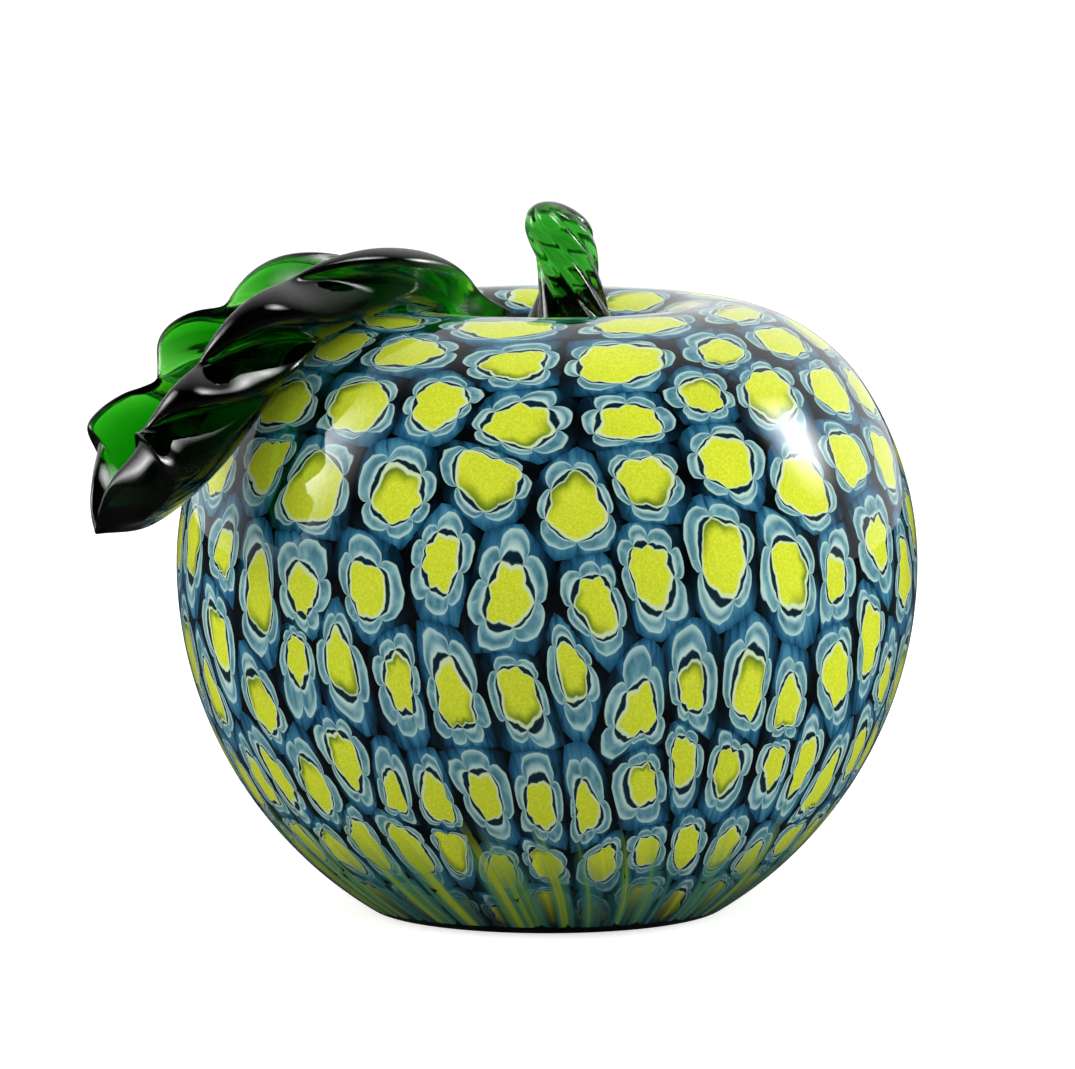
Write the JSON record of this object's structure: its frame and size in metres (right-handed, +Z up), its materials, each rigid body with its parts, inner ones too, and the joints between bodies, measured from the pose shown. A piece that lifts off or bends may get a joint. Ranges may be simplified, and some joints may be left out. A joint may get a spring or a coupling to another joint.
{
  "type": "glass apple",
  "caption": "Hollow blown glass apple with rings of millefiori slices under a clear casing, a twisted green stem and a folded green leaf, standing on a ground flat base.",
  "frame": {"origin": "centre of the flat base, on the axis of the round body", "axes": "+Z up the axis from the base to the stem, -Y to the front as pictured, -X to the side that the leaf hangs over"},
  "size_m": [0.1253, 0.115, 0.1103],
  "materials": {
    "clear_glass": "fire polished",
    "ground_glass": "gloss",
    "core_glass": "opaque gloss",
    "petal_glass": "opaque gloss",
    "mantle_glass": "gloss",
    "stem_glass": "fire polished",
    "leaf_glass": "fire polished"
  },
  "bodies": {
    "root": {"clear_casing": "clear_glass", "ground_bubble": "ground_glass", "stem": "stem_glass", "leaf": "leaf_glass", "mantles_row_1": "mantle_glass", "petals_row_1": "petal_glass", "cores_row_1": "core_glass", "mantles_row_2": "mantle_glass", "petals_row_2": "petal_glass", "cores_row_2": "core_glass", "mantles_row_3": "mantle_glass", "petals_row_3": "petal_glass", "cores_row_3": "core_glass", "mantles_row_4": "mantle_glass", "petals_row_4": "petal_glass", "cores_row_4": "core_glass", "mantles_row_5": "mantle_glass", "petals_row_5": "petal_glass", "cores_row_5": "core_glass", "mantles_row_6": "mantle_glass", "petals_row_6": "petal_glass", "cores_row_6": "core_glass", "mantles_row_7": "mantle_glass", "petals_row_7": "petal_glass", "cores_row_7": "core_glass", "mantles_row_8": "mantle_glass", "petals_row_8": "petal_glass", "cores_row_8": "core_glass", "mantles_row_9": "mantle_glass", "petals_row_9": "petal_glass", "cores_row_9": "core_glass", "mantles_row_10": "mantle_glass", "petals_row_10": "petal_glass", "cores_row_10": "core_glass"}
  },
  "joints": []
}
